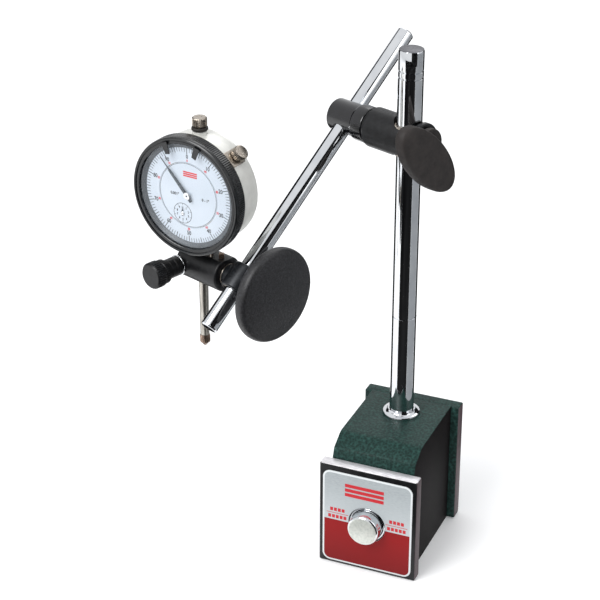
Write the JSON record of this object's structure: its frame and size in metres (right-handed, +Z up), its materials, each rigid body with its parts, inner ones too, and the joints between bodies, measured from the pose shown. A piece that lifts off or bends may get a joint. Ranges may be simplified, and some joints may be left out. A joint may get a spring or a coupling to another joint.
{
  "type": "dial indicator on magnetic base",
  "caption": "Dial indicator with a turning bezel and a sprung plunger, held by its stem on a swivel arm that slides on the post of a push-button magnetic base.",
  "frame": {"origin": "centre of the magnetic base's underside, on the surface that it stands on", "axes": "+Z up along the post, -Y out of the push button's face, +X to the right of someone facing the button"},
  "size_m": [0.1398, 0.1365, 0.254],
  "materials": {
    "chrome": "polished chrome plate",
    "steel": "ground and brushed steel",
    "case_satin": "satin nickel finish on the indicator's case",
    "brass": "turned brass of the movement",
    "plate_bright": "ground steel with black sides",
    "hammered_paint": "dark green hammered enamel",
    "black_metal": "black oxide, semi-gloss",
    "black_plastic": "textured moulded plastic",
    "wing_plastic": "fine matte moulded plastic, brown-black",
    "bezel_black": "satin black",
    "rubber": "soft ring",
    "label_print": "printed foil, silver-grey above and deep red below",
    "dial_print": "pale blue-white dial with black and red printing",
    "clear": "clear crystal",
    "magnet": "sintered magnet"
  },
  "bodies": {
    "base": {"front_pole_plate": "plate_bright", "rear_pole_plate": "hammered_paint", "base_body": "hammered_paint", "label_plate": "label_print", "button_bushing": "chrome", "post_collar": "chrome", "post": "chrome"},
    "button": {"push_button": "chrome", "button_rod": "steel", "magnet_block": "magnet", "rear_button": "steel"},
    "clamp_carriage": {"post_bush": "steel"},
    "post_clamp": {"post_barrel": "black_metal", "thrust_pin": "steel", "friction_washer": "steel"},
    "wing": {"wing_knob": "wing_plastic"},
    "arm_clamp": {"arm_barrel": "black_metal"},
    "arm": {"arm_rod": "chrome"},
    "sleeve_slider": {"sleeve_liner": "steel"},
    "sleeve": {"arm_sleeve": "black_metal", "sleeve_washer": "steel"},
    "disc": {"disc_knob": "black_plastic", "disc_knob_stud": "steel"},
    "head": {"stem_head": "black_metal", "head_pin": "steel", "head_screw": "steel"},
    "head_thumb_screw": {"stem_screw": "black_metal", "stem_screw_washer": "chrome"},
    "indicator": {"indicator_case": "case_satin", "back_cover": "case_satin", "stem": "steel", "top_bush": "steel", "main_plate": "brass", "inner_bridge": "brass", "rear_bridge": "brass", "bezel_bracket": "steel", "dial_centre": "dial_print", "cover_screw_1": "steel", "cover_screw_2": "steel", "cover_screw_3": "steel", "cover_screw_4": "steel"},
    "bezel_ring": {"bezel": "bezel_black", "crystal": "clear", "dial_ring": "dial_print"},
    "tolerance_left": {"tolerance_hand_left": "black_metal"},
    "tolerance_right": {"tolerance_hand_right": "black_metal"},
    "bezel_clamp": {"bezel_clamp_screw": "steel"},
    "plunger": {"spindle": "steel", "contact_point": "steel", "spindle_cap": "steel", "cap_ring": "rubber", "guide_pin": "steel", "return_spring": "steel"},
    "rack_wheel": {"rack_pinion": "steel", "rack_gear": "brass"},
    "centre_wheel": {"centre_pinion": "steel", "main_hand": "black_metal"},
    "counter_wheel": {"counter_gear": "brass", "small_hand": "black_metal", "hairspring": "steel"}
  },
  "joints": [
    {"name": "arm_swing", "type": "hinge", "parent": "post_clamp", "child": "arm_clamp", "pos_m": [-0.03501, 0.02504, 0.2105], "axis": [0.9336, -0.3584, 0], "range_deg": [-90, 50]},
    {"name": "arm_reach", "type": "slide", "parent": "arm_clamp", "child": "arm", "axis": [-0.2773, -0.7224, -0.6334], "range_m": [-0.04, 0.035]},
    {"name": "bezel_turn", "type": "hinge", "parent": "indicator", "child": "bezel_ring", "pos_m": [-0.08442, -0.03391, 0.18996], "axis": [0.1564, 0.9877, 0], "continuous": true},
    {"name": "button_push", "type": "slide", "parent": "base", "child": "button", "axis": [0, 1, 0], "range_m": [0, 0.006]},
    {"name": "clamp_height", "type": "slide", "parent": "base", "child": "clamp_carriage", "axis": [0, 0, 1], "range_m": [-0.07, 0.025]},
    {"name": "clamp_swivel", "type": "hinge", "parent": "clamp_carriage", "child": "post_clamp", "pos_m": [0, 0.0116, 0.2105], "axis": [0, 0, 1], "continuous": true},
    {"name": "head_swivel", "type": "hinge", "parent": "sleeve", "child": "head", "pos_m": [-0.06108, -0.04287, 0.15096], "axis": [0.9336, -0.3584, 0], "range_deg": [-10, 75]},
    {"name": "indicator_turn", "type": "hinge", "parent": "head", "child": "indicator", "pos_m": [-0.08442, -0.03391, 0.15096], "axis": [0, 0, 1], "range_deg": [-90, 90]},
    {"name": "plunger_travel", "type": "slide", "parent": "indicator", "child": "plunger", "axis": [0, 0, 1], "range_m": [0, 0.0254], "stiffness_N_per_m": 20, "springref_m": -0.04, "deforming": ["return_spring"]},
    {"name": "sleeve_slide", "type": "slide", "parent": "arm", "child": "sleeve_slider", "axis": [-0.2773, -0.7224, -0.6334], "range_m": [-0.01, 0.015]},
    {"name": "sleeve_turn", "type": "hinge", "parent": "sleeve_slider", "child": "sleeve", "pos_m": [-0.06108, -0.04287, 0.15096], "axis": [0.2773, 0.7224, 0.6334], "range_deg": [-60, 30]},
    {"name": "wing_knob_turn", "type": "hinge", "parent": "post_clamp", "child": "wing", "pos_m": [0, 0.0116, 0.2105], "axis": [0.9336, -0.3584, 0], "range_deg": [-150, 30]},
    {"name": "disc_knob_turn", "type": "hinge", "parent": "sleeve", "child": "disc", "pos_m": [-0.06108, -0.04287, 0.15096], "axis": [0.9336, -0.3584, 0], "range_deg": [-120, 60]},
    {"name": "stem_screw_turn", "type": "hinge", "parent": "head", "child": "head_thumb_screw", "pos_m": [-0.09151, -0.03119, 0.15096], "axis": [-0.3584, -0.9336, 0], "range_deg": [-180, 90]},
    {"name": "tolerance_left_set", "type": "hinge", "parent": "bezel_ring", "child": "tolerance_left", "pos_m": [-0.08442, -0.03391, 0.18996], "axis": [0.1564, 0.9877, 0], "range_deg": [-60, 15]},
    {"name": "tolerance_right_set", "type": "hinge", "parent": "bezel_ring", "child": "tolerance_right", "pos_m": [-0.08442, -0.03391, 0.18996], "axis": [0.1564, 0.9877, 0], "range_deg": [-15, 60]},
    {"name": "bezel_screw_turn", "type": "hinge", "parent": "indicator", "child": "bezel_clamp", "pos_m": [-0.08442, -0.03391, 0.18996], "axis": [0.6984, -0.1106, 0.7071], "range_deg": [-90, 90]},
    {"name": "rack_wheel_turn", "type": "hinge", "parent": "indicator", "child": "rack_wheel", "pos_m": [-0.08824, -0.03331, 0.1939], "axis": [0.1564, 0.9877, 0], "range_deg": [-725, 5]},
    {"name": "hand_turn", "type": "hinge", "parent": "indicator", "child": "centre_wheel", "pos_m": [-0.08442, -0.03391, 0.18996], "axis": [0.1564, 0.9877, 0], "range_deg": [-5, 3605]},
    {"name": "counter_turn", "type": "hinge", "parent": "indicator", "child": "counter_wheel", "pos_m": [-0.08758, -0.03341, 0.18036], "axis": [0.1564, 0.9877, 0], "range_deg": [-365, 5]}
  ],
  "couplings": [
    {"joint": "rack_wheel_turn", "follows": "plunger_travel", "rad_per_m": -494.74},
    {"joint": "hand_turn", "follows": "plunger_travel", "rad_per_m": 2473.7},
    {"joint": "counter_turn", "follows": "plunger_travel", "rad_per_m": -247.37}
  ]
}
